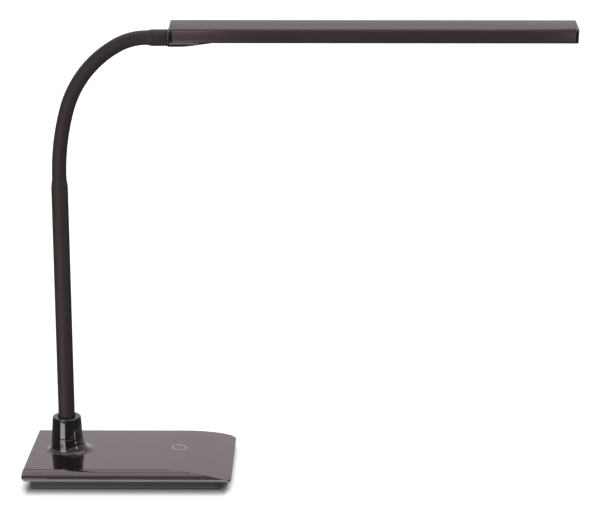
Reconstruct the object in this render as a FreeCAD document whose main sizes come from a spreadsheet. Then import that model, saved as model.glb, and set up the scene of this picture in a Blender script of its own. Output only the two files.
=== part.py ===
import FreeCAD, Part
import Sketcher
import math
import os
import re

# Gooseneck desk lamp: a flat touch-switch base, a sleeved tube and hose, and a slim bar head.
# Millimetres, +Z up. The origin is the middle of the base's underside, +X towards the head.

doc = FreeCAD.newDocument("gooseneck_desk_lamp")
sheet = doc.addObject("Spreadsheet::Sheet", "sizes")

SIZES = {
    # base cover, an open shell
    "base_long": 200.8, "base_wide": 130.6, "cover_low": 8.7, "cover_top": 19.0, "cover_wall": 2.0,
    "waist_high": 12.2, "lip_in": 2.5, "crease_in": 8.3, "shoulder_round": 12.2, "end_lean": 0.8,
    "fall_start": 20.0, "fall_round": 368.0, "corner_round": 8.0, "end_round": 28.0, "end_stop": 6.0,
    # tray, pad and ballast
    "tray_low": 1.2, "tray_end_in": 8.4, "tray_side_in": 5.2, "tray_wall": 2.0, "tray_floor": 1.5,
    "ledge": 1.2, "ledge_out": 1.4, "pad_in": 0.8, "ballast_long": 150.0, "ballast_wide": 100.0,
    "ballast_thick": 6.0, "ballast_low": 2.8, "post_x": 84.0, "post_y": 46.0, "post_wide": 7.0,
    # neck place, boss and collar
    "neck_x": -63.9, "neck_y": 1.2, "seam_high": 33.8, "boss_wide": 30.6, "collar_high": 53.5,
    "collar_wide": 27.6, "collar_bore": 17.8, "stem_wide": 9.9, "stem_bore": 6.8,
    "stem_low": 8.0, "stem_tall": 28.0, "plate_long": 40.0, "plate_wide": 52.0, "nut_round": 8.0,
    # tube and hose
    "tube_wide": 12.0, "tube_bore": 10.0, "tube_end": 283.9, "tube_skin": 16.0, "hose_wide": 9.2,
    "hose_bore": 4.4, "skin_wide": 13.8, "skin_bore": 9.5, "lead_wide": 3.2, "straight": 10.0,
    "gap": 0.1, "rim": 2.4, "twist_at": 5.0, "bend_first": 15.0, "bend_pitch": 26.0,
    # the three tangent arcs of the neck: radius and turn in degrees
    "low_round": 232.2, "low_turn": 15.9, "mid_round": 102.4, "mid_turn": 45.5,
    "high_round": 57.3, "high_turn": 28.6,
    # cuff and head, measured from the end of the hose
    "cuff_wide": 15.7, "cuff_long": 19.4, "fitting_wide": 10.4, "shaft_wide": 8.0, "shaft_bore": 4.0,
    "head_start": 21.9, "head_long": 381.0, "head_wide": 29.2, "head_low": -1.2, "head_top": 13.3,
    "head_round": 2.8, "head_wall": 1.5, "cap_thick": 3.0, "web_low": 5.4, "web_thick": 1.6,
    "mouth_wide": 22.0, "slot_wide": 25.2, "slot_high": 1.2, "lip_thick": 1.0, "head_roll": 12.0,
    "mount_wide": 17.4, "mount_long": 39.5, "mount_flat": 15.0, "tongue_round": 38.0,
    "board_start": 62.0,
    "clip_at": 40.5, "mount_screw_x": 57.0, "mount_screw_gap": 4.2, "strip_wide": 19.0,
    "strip_thick": 1.2, "chip_long": 3.5, "chip_wide": 2.8, "chip_tall": 0.7,
    # touch ring, control board and inlet
    "ring_x": 46.1, "ring_y": 8.0, "ring_wide": 14.8, "ring_line": 1.0, "ring_deep": 0.8,
    "board_x": 32.5, "board_long": 55.0, "board_wide": 44.0, "board_low": 10.2, "board_thick": 1.2,
    "inlet_x": -63.9, "inlet_high": 5.5, "inlet_bore": 3.8, "inlet_deep": 9.5,
    "inlet_back": 15.1, "power_wide": 2.4, "foam_wide": 9.0,
}
for row, (word, number) in enumerate(SIZES.items(), start=1):
    sheet.set(f"A{row}", word)
    sheet.set(f"B{row}", str(number))
    sheet.setAlias(f"B{row}", word)
doc.recompute()

V = FreeCAD.Vector
pieces = []


def num(text):
    """The value of a formula written in the sheet's own words."""
    value = sheet.evalExpression(text)
    return float(getattr(value, "Value", value))


def formula(text):
    """The same formula as other objects write it, with each word taken from the sheet."""
    return re.sub(r"[a-z_]+", lambda found: "sizes." + found[0] if found[0] in SIZES else found[0], text)


def bind(thing, **values):
    for name, text in values.items():
        thing.setExpression(name, formula(text))


def place(thing, x="0", y="0", z="0"):
    for axis, text in zip("xyz", (x, y, z)):
        thing.setExpression("Placement.Base." + axis, formula(text))


def keep(thing, node):
    """Names a finished piece; its label is also its file."""
    thing.Label = node
    pieces.append(thing)
    return thing


# Plain shapes and booleans

def box(name, x, y, z, long, wide, tall):
    """A block centred on x and y that stands on z."""
    thing = doc.addObject("Part::Box", name)
    bind(thing, Length=long, Width=wide, Height=tall)
    place(thing, f"{x} - ({long}) / 2", f"{y} - ({wide}) / 2", z)
    return thing


def rod(name, x, y, z, wide, tall, along="z"):
    """A cylinder that starts at the point given and runs along +Z, +X or +Y."""
    turns = {"z": FreeCAD.Rotation(), "x": FreeCAD.Rotation(V(0, 1, 0), 90),
             "y": FreeCAD.Rotation(V(1, 0, 0), -90)}
    thing = doc.addObject("Part::Cylinder", name)
    bind(thing, Radius=f"({wide}) / 2", Height=tall)
    thing.Placement = FreeCAD.Placement(V(), turns[along])
    place(thing, x, y, z)
    return thing


def joined(name, things):
    thing = doc.addObject("Part::MultiFuse", name)
    thing.Shapes = things
    return thing


def shared(name, things):
    thing = doc.addObject("Part::MultiCommon", name)
    thing.Shapes = things
    return thing


def cut(name, base, tools):
    thing = doc.addObject("Part::Cut", name)
    thing.Base = base
    thing.Tool = tools[0] if len(tools) == 1 else joined(name + "_tools", tools)
    return thing


def group(name, things):
    thing = doc.addObject("Part::Compound", name)
    thing.Links = things
    return thing


# Sketched bodies

def origin_part(body, role):
    return [item for item in body.Origin.OriginFeatures if item.Role == role][0]


def arc_centre(start, end, radius, turn):
    """Centre of the short arc between two points; turn is 1 for anticlockwise, -1 for clockwise."""
    middle = (start + end) / 2
    chord = end - start
    rise = math.sqrt(max(radius ** 2 - (chord.Length / 2) ** 2, 0))
    side = V(-chord.y, chord.x, 0)
    return middle + side / chord.Length * rise * turn


def outline(body, plane, corners):
    """A closed sketch. A corner is (x, y), or (x, y, radius, turn) where an arc leads to it."""
    sketch = body.newObject("Sketcher::SketchObject", body.Name + "_outline")
    sketch.AttachmentSupport = [(origin_part(body, plane), "")]
    sketch.MapMode = "FlatFace"
    points = [V(num(corner[0]), num(corner[1]), 0) for corner in corners]
    ends = []
    for index, corner in enumerate(corners):
        start = points[index - 1]
        end = points[index]
        if len(corner) == 2:
            line = sketch.addGeometry(Part.LineSegment(start, end))
            ends.append((line, 1, 2))
            continue
        radius = num(corner[2])
        centre = arc_centre(start, end, radius, corner[3])
        first, last = (start, end) if corner[3] > 0 else (end, start)
        angles = [math.atan2(point.y - centre.y, point.x - centre.x) for point in (first, last)]
        circle = Part.Circle(centre, V(0, 0, 1), radius)
        arc = sketch.addGeometry(Part.ArcOfCircle(circle, angles[0], angles[1]))
        ends.append((arc, 1, 2) if corner[3] > 0 else (arc, 2, 1))
        held = sketch.addConstraint(Sketcher.Constraint("Radius", arc, radius))
        sketch.setExpression(f"Constraints[{held}]", formula(corner[2]))
    for index, corner in enumerate(corners):
        edge, start, end = ends[index]
        after, after_start, _ = ends[(index + 1) % len(ends)]
        sketch.addConstraint(Sketcher.Constraint("Coincident", edge, end, after, after_start))
        for kind, text, value in (("DistanceX", corner[0], points[index].x),
                                  ("DistanceY", corner[1], points[index].y)):
            held = sketch.addConstraint(Sketcher.Constraint(kind, -1, 1, edge, end, value))
            sketch.setExpression(f"Constraints[{held}]", formula(text))
    return sketch


def padded(name, plane, corners, length, midplane=True):
    """A body whose outline is raised off its plane, or to both sides of it."""
    body = doc.addObject("PartDesign::Body", name)
    sketch = outline(body, plane, corners)
    pad = body.newObject("PartDesign::Pad", name + "_pad")
    pad.Profile = sketch
    pad.Midplane = midplane
    bind(pad, Length=length)
    return body


def turned(name, corners, axis="V_Axis"):
    """A body of revolution: corners are (radius, height), or (length, radius) about the H axis."""
    body = doc.addObject("PartDesign::Body", name)
    sketch = outline(body, "XZ_Plane", corners)
    turn = body.newObject("PartDesign::Revolution", name + "_turn")
    turn.Profile = sketch
    turn.ReferenceAxis = (sketch, [axis])
    turn.Angle = 360
    return body


def rounded_plan(long_low, long_high, half_wide, radius):
    """A plan outline with square corners on the left and round ones on the right."""
    return [(long_low, f"{half_wide}"), (long_low, f"-({half_wide})"),
            (f"{long_high} - {radius}", f"-({half_wide})"),
            (long_high, f"-({half_wide}) + {radius}", radius, 1),
            (long_high, f"{half_wide} - {radius}"),
            (f"{long_high} - {radius}", f"{half_wide}", radius, 1)]


# Base cover: three outlines meet in one shell

def cover_solid(name, wall, stop, low):
    """The cover's outside, or its hollow when wall is the wall's thickness."""
    half = f"base_long / 2 - {wall}"
    fall = f"(fall_round - {wall})"
    drop = f"({fall} - sqrt({fall} ^ 2 - ({half} - {stop} - fall_start) ^ 2))"
    top = f"cover_top - {wall}"
    side = padded(name + "_side", "XZ_Plane", [
        (f"-({half}) + lip_in", low), (f"{half} - {stop} - 1.6", low),
        (f"{half} - {stop}", f"{top} - {drop}"), ("fall_start", top, fall, 1),
        (f"-({half}) + end_lean", top), (f"-({half})", "waist_high", "end_round", 1)], "base_wide * 2")
    waist = f"base_wide / 2 - {wall}"
    lip = f"({waist} - lip_in)"
    crease = f"({waist} - crease_in)"
    bow = f"(shoulder_round - {wall})"
    cross = padded(name + "_cross", "YZ_Plane", [
        (f"-{lip}", low), (lip, low), (waist, "waist_high"), (crease, top, bow, 1),
        (f"-{crease}", top), (f"-({waist})", "waist_high", bow, 1)], "base_long * 2")
    plan = padded(name + "_plan", "XY_Plane",
                  rounded_plan(f"-({half})", f"({half} - {stop})", f"({waist})", f"(corner_round - {wall})"),
                  "cover_top * 3")
    return shared(name, [side, cross, plan])


cover_outside = cover_solid("cover_outside", "0", "0", "cover_low")
cover_hollow = cover_solid("cover_hollow", "cover_wall", "end_stop", "cover_low - 1")
# The boss flares into the top, wider towards the middle of the base.
# Each ring is given by its height, how much wider it is than the boss, and how far it leans inwards.
FLARE = [("cover_top - 1.5", 17, 2.8), ("cover_top", 13, 2.2), ("cover_top + 1.3", 6.5, 1.5),
         ("cover_top + 3.6", 3, 0.9), ("cover_top + 8", 0.8, 0.3), ("seam_high", 0, 0)]
flare = doc.addObject("Part::Loft", "boss_flare")
rings = []
for high, wider, shift in FLARE:
    ring = doc.addObject("Part::Circle", "boss_ring")
    bind(ring, Radius=f"(boss_wide + {wider}) / 2")
    place(ring, f"neck_x + {shift}", "neck_y", high)
    rings.append(ring)
flare.Sections = rings
flare.Solid = True
boss_hole = rod("boss_hole", "neck_x", "neck_y", "cover_top - cover_wall - 1", "stem_wide + 0.2", "30")
boss_socket = rod("boss_socket", "neck_x", "neck_y", "cover_top", "tube_wide + 0.2", "30")
boss_mouth = rod("boss_mouth", "neck_x", "neck_y", "cover_top + 4", "collar_bore + 0.6", "30")
posts = []
post_holes = []
for side_x in (-1, 1):
    for side_y in (-1, 1):
        spot = (f"{side_x} * post_x", f"{side_y} * post_y")
        # The posts at the low end are shorter inside, so each is trimmed to the cover's outside.
        posts.append(rod("post", *spot, "tray_low + tray_floor + 0.2", "post_wide", "cover_top - 3.5"))
        post_holes.append(rod("post_hole", *spot, "tray_low", "2.2", "8.5"))
post_tops = shared("post_tops", [joined("all_posts", posts), padded(
    "post_limit", "XZ_Plane", [("-base_long / 2", "0"), ("base_long / 2", "0"),
                               ("base_long / 2", "cover_low + 1.6"), ("fall_start", "cover_top - 0.6"),
                               ("-base_long / 2", "cover_top - 0.6")], "base_wide * 2")])
ring_groove = cut("ring_groove", rod("ring_out", "ring_x", "ring_y", "cover_top - 4", "ring_wide", "6"),
                  [rod("ring_in", "ring_x", "ring_y", "cover_top - 5", "ring_wide - 2 * ring_line", "8")])
cover_lowered = cover_solid("cover_lowered", "0", "0", "cover_low")
place(cover_lowered, z="-ring_deep")
ring_band = cut("ring_band", ring_groove, [cover_lowered])
plug_notch = rod("plug_notch", "inlet_x", "base_wide / 2 - tray_side_in - 1", "inlet_high", "12", "12", "y")
shell = cut("cover_shell", cover_outside, [cover_hollow])
keep(cut("base_cover_solid", joined("cover_with_boss", [shell, flare, post_tops]),
         [boss_hole, boss_socket, boss_mouth, ring_band, plug_notch] + post_holes), "base_cover")
keep(shared("touch_ring_solid", [ring_band, cover_outside]), "touch_ring")

# Tray with a ledge that closes the cover from below

tray_half = "(base_long / 2 - tray_end_in)"
tray_side = "(base_wide / 2 - tray_side_in)"
tray_block = padded("tray_block", "XY_Plane",
                    rounded_plan(f"-{tray_half}", tray_half, tray_side, "corner_round"),
                    "cover_low - tray_low", False)
place(tray_block, z="tray_low")
ledge_block = padded("ledge_block", "XY_Plane",
                     rounded_plan(f"-({tray_half} + ledge_out)", f"({tray_half} - 1.5)",
                                  f"({tray_side} + ledge_out)", "corner_round"), "ledge", False)
place(ledge_block, z="cover_low")
tray_hollow = padded("tray_hollow", "XY_Plane",
                     rounded_plan(f"-({tray_half} - tray_wall)", f"({tray_half} - tray_wall - 1.5)",
                                  f"({tray_side} - tray_wall)", "(corner_round - tray_wall)"),
                     "cover_top", False)
place(tray_hollow, z="tray_low + tray_floor")
screw_holes = []
for side_x in (-1, 1):
    for side_y in (-1, 1):
        spot = (f"{side_x} * post_x", f"{side_y} * post_y")
        screw_holes.append(rod("tray_hole", *spot, "0", "3", "tray_low + tray_floor + 1"))
        screw_holes.append(rod("tray_sink", *spot, "0", "5.2", "tray_low + 0.9"))
inlet_window = rod("inlet_window", "inlet_x", f"{tray_side} - 4", "inlet_high", "5", "8", "y")
keep(cut("tray_solid", joined("tray_blocks", [tray_block, ledge_block]),
         [tray_hollow, inlet_window] + screw_holes), "base_tray")
keep(padded("non_slip_pad_body", "XY_Plane",
            rounded_plan(f"-({tray_half} - pad_in)", f"({tray_half} - pad_in)", f"({tray_side} - pad_in)",
                         "(corner_round - tray_wall)"), "tray_low", False), "non_slip_pad")

# Steel ballast plate, opened round the neck nut and the inlet and tapped for the board

board_spots = [(f"board_x + {a} * (board_long / 2 - 4)", f"{b} * (board_wide / 2 - 4)")
               for a in (-1, 1) for b in (-1, 1)]
ballast_blank = box("ballast_blank", "0", "0", "ballast_low", "ballast_long", "ballast_wide", "ballast_thick")
keep(cut("ballast_solid", ballast_blank,
         [rod("nut_room", "neck_x", "neck_y", "0", "26", "20"),
          box("lead_room", "neck_x + 16", "neck_y", "0", "10", "7", "20"),
          box("inlet_room", "inlet_x", "ballast_wide / 2", "0", "18", "46", "20")]
         + [rod("ballast_tap", x, y, "0", "3", "20") for x, y in board_spots]), "ballast_plate")

# Touch ring's foam, control board and inlet

board = box("board_blank", "board_x", "0", "board_low", "board_long", "board_wide", "board_thick")
board_holes = [rod("board_hole", x, y, "board_low - 1", "3.2", "5") for x, y in board_spots]
keep(cut("board_solid", board, board_holes), "control_board")
board_top = "board_low + board_thick"
keep(group("board_parts_group", [
    box("driver_chip", "board_x - 12", "6", board_top, "5", "6", "1.6"),
    box("touch_chip", "board_x + 2", "-4", board_top, "4", "4", "1.2"),
    box("coil", "board_x - 12", "-6", board_top, "7", "7", "3"),
    rod("capacitor", "board_x - 16", "-14", board_top, "6.3", "3.6"),
    box("diode", "board_x - 3", "12", board_top, "4.4", "2.6", "1.4"),
    box("lead_header", "board_x - 23", "4", board_top, "4.5", "8", "3.4")]), "board_parts")
keep(group("board_screws_group", [joined("board_screw", [
    rod("screw_shank", x, y, "ballast_low + 2", "3", "board_low + board_thick - ballast_low - 2"),
    rod("screw_head", x, y, board_top, "5.4", "1.6")]) for x, y in board_spots]), "board_screws")
foam_tall = "cover_top - cover_wall - 1.35 - board_low - board_thick"
keep(rod("foam_solid", "ring_x", "ring_y", board_top, "foam_wide", foam_tall), "touch_foam")

inlet_face = f"({tray_side})"
inlet_body = box("inlet_block", "inlet_x", f"{inlet_face} - 8.5", "inlet_high - 2.8", "7", "13", "5.6")
inlet_nose = rod("inlet_nose", "inlet_x", f"{inlet_face} - 2", "inlet_high", "4.8", "2", "y")
inlet_floor = ("inlet_x", f"{inlet_face} - inlet_deep", "inlet_high")
inlet_hole = rod("inlet_hole", *inlet_floor, "inlet_bore", "inlet_deep + 1", "y")
inlet_pin = rod("inlet_pin", *inlet_floor, "1.3", "inlet_deep - 1.5", "y")
keep(group("inlet_group", [cut("inlet_solid", joined("inlet_blocks", [inlet_body, inlet_nose]), [inlet_hole]),
                           inlet_pin]), "dc_socket")

keep(group("base_screws_group", [joined("base_screw", [
    rod("base_shank", f"{a} * post_x", f"{b} * post_y", "tray_low + 0.9", "2.2", "7"),
    rod("base_head", f"{a} * post_x", f"{b} * post_y", "tray_low", "5", "0.9")])
    for a in (-1, 1) for b in (-1, 1)]), "base_screws")


# Leads in the base and the tube

def lead(name, route, bend, wide):
    """A round lead along straight runs joined by arcs of one radius."""
    edges = []
    here = route[0]
    for before, corner, after in zip(route, route[1:], route[2:]):
        back = (before - corner).normalize()
        ahead = (after - corner).normalize()
        half = back.getAngle(ahead) / 2
        reach = bend / math.tan(half)
        start = corner + back * reach
        end = corner + ahead * reach
        inner = corner + (back + ahead).normalize() * (bend / math.sin(half) - bend)
        edges.append(Part.makeLine(here, start))
        edges.append(Part.Arc(start, inner, end).toShape())
        here = end
    edges.append(Part.makeLine(here, route[-1]))
    ring = Part.Wire(Part.makeCircle(wide / 2, route[0], route[1] - route[0]))
    solid = Part.Wire(edges).makePipe(Part.Face(ring))
    thing = doc.addObject("Part::Feature", name)
    thing.Shape = solid
    return thing


LEAD_BEND = 3.0
POWER_BEND = 3.5
neck = V(num("neck_x"), num("neck_y"), 0)
lead_high = num("board_low + 0.4")
board_edge = num("board_x - board_long / 2 - 0.1")
inlet_rear = V(num("inlet_x"), num(f"{inlet_face} - inlet_back"), num("inlet_high"))
power_route = [inlet_rear, inlet_rear + V(0, -6, 0), inlet_rear + V(7, -11, 6),
               V(board_edge - 12, 16, lead_high), V(board_edge, 16, lead_high)]
keep(lead("power_route", power_route, POWER_BEND, num("power_wide")), "power_lead")
neck_route = [V(board_edge, 2, lead_high), V(neck.x + 14.5, neck.y, lead_high),
              V(neck.x + 9, neck.y, 5.2), V(neck.x, neck.y, 4.9),
              V(neck.x, neck.y, num("tube_end + twist_at - gap"))]
keep(lead("neck_route", neck_route, LEAD_BEND, num("lead_wide")), "neck_lead")

# Neck stem, plate and nut under the cover; collar, grommet and tube above it

stem = rod("stem_blank", "neck_x", "neck_y", "stem_low", "stem_wide", "stem_tall")
keep(cut("stem_solid", stem, [rod("stem_hole", "neck_x", "neck_y", "7", "stem_bore", "40")]), "neck_stem")
plate = box("plate_blank", "neck_x", "neck_y", "cover_top - cover_wall - 2", "plate_long", "plate_wide",
            "1.9")
keep(cut("plate_solid", plate, [rod("plate_hole", "neck_x", "neck_y", "10", "stem_wide + 0.2", "10")]),
     "anchor_plate")
nut = doc.addObject("Part::Prism", "nut_blank")
nut.Polygon = 6
bind(nut, Circumradius="nut_round", Height="nut_round / 2")
place(nut, "neck_x", "neck_y", "cover_top - cover_wall - 6")
keep(cut("nut_solid", nut, [rod("nut_hole", "neck_x", "neck_y", "9", "stem_wide", "10")]), "neck_nut")


def on_neck(body):
    place(body, "neck_x", "neck_y")
    return body


keep(on_neck(turned("collar_body", [
    ("collar_bore / 2", "seam_high"), ("boss_wide / 2 - 0.3", "seam_high"),
    ("boss_wide / 2 - 0.1", "seam_high + 0.3"), ("collar_wide / 2", "collar_high - 0.8"),
    ("collar_wide / 2 - 0.8", "collar_high", "0.8", 1), ("collar_bore / 2 + 0.5", "collar_high"),
    ("collar_bore / 2", "collar_high - 0.5", "0.5", 1)])), "collar")
keep(on_neck(turned("grommet_body", [
    ("tube_skin / 2 + 0.05", "collar_high - 7"), ("collar_bore / 2 - 0.05", "collar_high - 7"),
    ("collar_bore / 2 - 0.05", "collar_high - 1.8"), ("tube_skin / 2 + 0.05", "collar_high - 2.4")])),
    "grommet")
keep(on_neck(turned("tube_body", [
    ("tube_bore / 2", "cover_top + 0.1"), ("tube_wide / 2", "cover_top + 0.1"),
    ("tube_wide / 2", "tube_end"), ("tube_bore / 2", "tube_end")])), "neck_tube")
keep(on_neck(turned("tube_skin_body", [
    ("tube_wide / 2 + 0.05", "collar_high - 20"), ("tube_skin / 2", "collar_high - 20"),
    ("tube_skin / 2", "tube_end - 2"), ("skin_wide / 2 + 0.42", "tube_end + twist_at - gap"),
    ("tube_wide / 2 + 0.05", "tube_end + twist_at - gap")])), "tube_sleeve")
keep(on_neck(turned("ferrule_body", [
    ("lead_wide / 2 + 0.3", "tube_end - 22"), ("tube_bore / 2 - 0.02", "tube_end - 22"),
    ("tube_bore / 2 - 0.02", "tube_end"), ("tube_wide / 2", "tube_end"),
    ("tube_wide / 2", "tube_end + twist_at - gap"), ("lead_wide / 2 + 0.3", "tube_end + twist_at - gap")])),
    "hose_ferrule")

# The bending hose: its line is a straight start and three tangent arcs in the XZ plane

ARCS = [(num(part + "_round"), math.radians(num(part + "_turn"))) for part in ("low", "mid", "high")]
STRAIGHT = num("straight")
HOSE_LONG = STRAIGHT + sum(radius * turn for radius, turn in ARCS)
START = V(0, 0, num("tube_end"))


def along(distance):
    """The point and the lean from upright, a distance along the hose."""
    point = START + V(0, 0, min(distance, STRAIGHT))
    lean = 0.0
    left = distance - STRAIGHT
    for radius, turn in ARCS:
        if left <= 0:
            break
        step = min(left / radius, turn)
        point = point + V(math.cos(lean) - math.cos(lean + step), 0,
                          math.sin(lean + step) - math.sin(lean)) * radius
        lean += step
        left -= radius * turn
    return point, lean


def heading(distance):
    lean = along(distance)[1]
    return V(math.sin(lean), 0, math.cos(lean))


def run(low, high, ahead=0.0):
    """The hose's line between two distances, with a straight end if ahead is given."""
    stops = [STRAIGHT]
    for radius, turn in ARCS:
        stops.append(stops[-1] + radius * turn)
    marks = [low] + [stop for stop in stops if low + 0.01 < stop < high - 0.01] + [high]
    edges = []
    for first, last in zip(marks, marks[1:]):
        ends = [along(first)[0], along(last)[0]]
        if last <= STRAIGHT + 0.01:
            edges.append(Part.makeLine(*ends))
        else:
            edges.append(Part.Arc(ends[0], along((first + last) / 2)[0], ends[1]).toShape())
    if ahead:
        edges.append(Part.makeLine(along(high)[0], along(high)[0] + heading(high) * ahead))
    return Part.Wire(edges)


def pipe(line, low, outer, inner):
    """A pipe, or a solid rod when inner is 0, of the radii given."""
    point = along(low)[0]
    solids = [line.makePipe(Part.Face(Part.Wire(Part.makeCircle(radius, point, heading(low)))))
              for radius in (outer, inner) if radius]
    return solids[0] if len(solids) == 1 else solids[0].cut(solids[1])


GAP = num("gap")
RIM = num("rim")
SKIN = num("skin_wide / 2")
BENDS = [num("bend_first") + num("bend_pitch") * index for index in range(7)]
TWIST = num("twist_at")


def link(low, high, outer, inner, skin):
    """One length of a layer: a cup round the bend below it and a ball in the cup above it."""
    from_cup = low in BENDS
    to_ball = high in BENDS
    start = low + (RIM if skin and from_cup else 0)
    end = high - (RIM if skin and to_ball else 0)
    solid = pipe(run(start, end), start, outer, inner)
    if to_ball:
        ball = Part.makeSphere(SKIN - GAP, along(high)[0])
        tip = pipe(run(end, high, SKIN) if skin else run(high - 0.5, high, SKIN),
                   end if skin else high - 0.5, outer, inner)
        solid = solid.fuse(tip.common(ball)).removeSplitter()
    if from_cup:
        solid = solid.cut(Part.makeSphere(SKIN + GAP, along(low)[0]))
    return solid


stations = [TWIST + GAP] + BENDS + [HOSE_LONG]
layers = [("sleeve", num("skin_wide / 2"), num("skin_bore / 2"), True),
          ("hose", num("hose_wide / 2"), num("hose_bore / 2"), False),
          ("lead", num("lead_wide / 2"), 0, False)]
# In the last length the hose ends in its fitting and the lead goes on through the shaft.
LAST_REACH = {"hose": 4.0, "lead": 44.9}
for count, (low, high) in enumerate(zip(stations, stations[1:]), start=1):
    for layer, outer, inner, skin in layers:
        thing = doc.addObject("Part::Feature", f"{layer}_shape")
        if high == HOSE_LONG and layer in LAST_REACH:
            onward = pipe(run(low, high, LAST_REACH[layer]), low, outer, inner)
            thing.Shape = onward.cut(Part.makeSphere(SKIN + GAP, along(low)[0]))
        else:
            thing.Shape = link(low, high, outer, inner, skin)
        thing.Placement = FreeCAD.Placement(neck, FreeCAD.Rotation())
        keep(thing, f"{layer}_{count}")

# Cuff and end fitting, turned about the level end of the hose

END = along(HOSE_LONG)[0] + neck


def at_hose_end(thing, roll=False):
    """Measures the piece from the hose's end; the head's pieces also roll about the hose's line."""
    thing.Placement = FreeCAD.Placement(END, FreeCAD.Rotation(V(1, 0, 0), num("head_roll") if roll else 0))
    return thing


keep(at_hose_end(turned("cuff_body", [
    ("0", "skin_bore / 2"), ("3", "skin_bore / 2"), ("3", "fitting_wide / 2"),
    ("cuff_long", "fitting_wide / 2"), ("cuff_long", "cuff_wide / 2 - 0.3"),
    ("cuff_long - 0.3", "cuff_wide / 2", "0.3", 1), ("4.5", "cuff_wide / 2"),
    ("0", "skin_wide / 2 + 0.1")], "H_Axis")), "cuff_sleeve")
keep(at_hose_end(turned("fitting_body", [
    ("3.1", "hose_wide / 2 + 0.02"), ("4.1", "hose_wide / 2 + 0.02"), ("4.1", "shaft_bore / 2"),
    ("clip_at + 4", "shaft_bore / 2"), ("clip_at + 4", "shaft_wide / 2"),
    ("clip_at + 1.1", "shaft_wide / 2"), ("clip_at + 1.1", "shaft_wide / 2 - 0.8"),
    ("clip_at", "shaft_wide / 2 - 0.8"), ("clip_at", "shaft_wide / 2"),
    ("cuff_long", "shaft_wide / 2"), ("cuff_long", "fitting_wide / 2 - 0.02"),
    ("3.1", "fitting_wide / 2 - 0.02")], "H_Axis")), "hose_end_fitting")
keep(at_hose_end(turned("clip_body", [
    ("clip_at + 0.1", "shaft_wide / 2 - 0.75"), ("clip_at + 1", "shaft_wide / 2 - 0.75"),
    ("clip_at + 1", "shaft_wide / 2 + 1.2"), ("clip_at + 0.1", "shaft_wide / 2 + 1.2")], "H_Axis")),
    "fitting_clip")


# Head: an aluminium extrusion between two caps, in the frame of the hose's end

def rounded_box(name, x, long, half, low, high, radius):
    """A bar along X whose four long edges are round."""
    body = padded(name, "YZ_Plane", [
        (f"-({half}) + {radius}", low, radius, 1), (f"{half} - {radius}", low),
        (half, f"{low} + {radius}", radius, 1), (half, f"{high} - {radius}"),
        (f"{half} - {radius}", high, radius, 1), (f"-({half}) + {radius}", high),
        (f"-({half})", f"{high} - {radius}", radius, 1), (f"-({half})", f"{low} + {radius}")],
        long, False)
    place(body, x)
    return body


def head_piece(thing, node):
    return keep(at_hose_end(thing, roll=True), node)


body_start = "(head_start + cap_thick)"
body_end = "(head_start + head_long - cap_thick)"
body_long = "(head_long - 2 * cap_thick)"
half_wide = "(head_wide / 2)"
web_top = "(web_low + web_thick)"
bar = rounded_box("bar_outside", body_start, body_long, half_wide, "head_low", "head_top", "head_round")
upper_room = rounded_box("upper_room", f"{body_start} - 1", f"{body_long} + 2", f"({half_wide} - head_wall)",
                         web_top, "(head_top - head_wall)", "1")
lower_room = box("lower_room", f"{body_start} + {body_long} / 2", "0", "head_low + lip_thick + slot_high",
                 f"{body_long} + 2", "head_wide - 2 * head_wall - 1",
                 "web_low - head_low - lip_thick - slot_high")
slot = box("diffuser_slot", f"{body_start} + {body_long} / 2", "0", "head_low + lip_thick",
           f"{body_long} + 2", "slot_wide", "slot_high + 0.1")
mouth = box("mouth", f"{body_start} + {body_long} / 2", "0", "head_low - 1", f"{body_long} + 2",
            "mouth_wide", "lip_thick + 1.1")
channels = []
channel_holes = []
for side in (-1, 1):
    channels.append(box("screw_channel", f"{body_start} + {body_long} / 2",
                        f"{side} * ({half_wide} - head_wall - 2.2)", web_top, body_long, "4.6",
                        f"head_top - head_wall - {web_top}"))
    channel_holes.append(rod("channel_hole", f"{body_start} - 1", f"{side} * ({half_wide} - head_wall - 2.6)",
                             f"{web_top} + 2.2", "2.2", f"{body_long} + 2", "x"))
screw_xs = ["mount_screw_x - mount_screw_gap / 2", "mount_screw_x + mount_screw_gap / 2"]
web_taps = [rod("web_tap", x, "0", "web_low - 1", "2.5", "web_thick + 1.2") for x in screw_xs]
upper_left = cut("upper_left", upper_room, channels)
head_piece(cut("bar_solid", bar, [upper_left, lower_room, slot, mouth] + channel_holes + web_taps),
           "head_profile")

plate_flat = box("diffuser_flange", f"(board_start + {body_end}) / 2", "0", "head_low + lip_thick + 0.05",
                 f"{body_end} - board_start - 0.2", "slot_wide - 0.3", "slot_high - 0.1")
plate_face = box("diffuser_face", f"(board_start + {body_end}) / 2", "0", "head_low + 0.15",
                 f"{body_end} - board_start - 0.2", "mouth_wide - 0.3", "lip_thick")
head_piece(joined("diffuser_solid", [plate_flat, plate_face]), "diffuser")
tape_thick = "0.3"
strip_long = f"({body_end} - board_start - 6)"
strip_mid = f"((board_start + {body_end}) / 2)"
head_piece(group("tape_group", [
    box("tape_solid", strip_mid, "0", f"web_low - {tape_thick}", strip_long, "18", tape_thick)]),
    "thermal_tape")
head_piece(group("strip_group", [
    box("strip_solid", strip_mid, "0", f"web_low - {tape_thick} - strip_thick", strip_long, "strip_wide",
        "strip_thick")]),
    "led_board")
chips = []
CHIPS = 28
for index in range(CHIPS):
    spot = f"board_start + 8 + {index} * ({strip_long} - 10) / {CHIPS - 1}"
    chips.append(box("chip", spot, "0", f"web_low - {tape_thick} - strip_thick - chip_tall",
                     "chip_long", "chip_wide", "chip_tall"))
head_piece(group("chips_group", chips), "led_chips")


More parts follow.
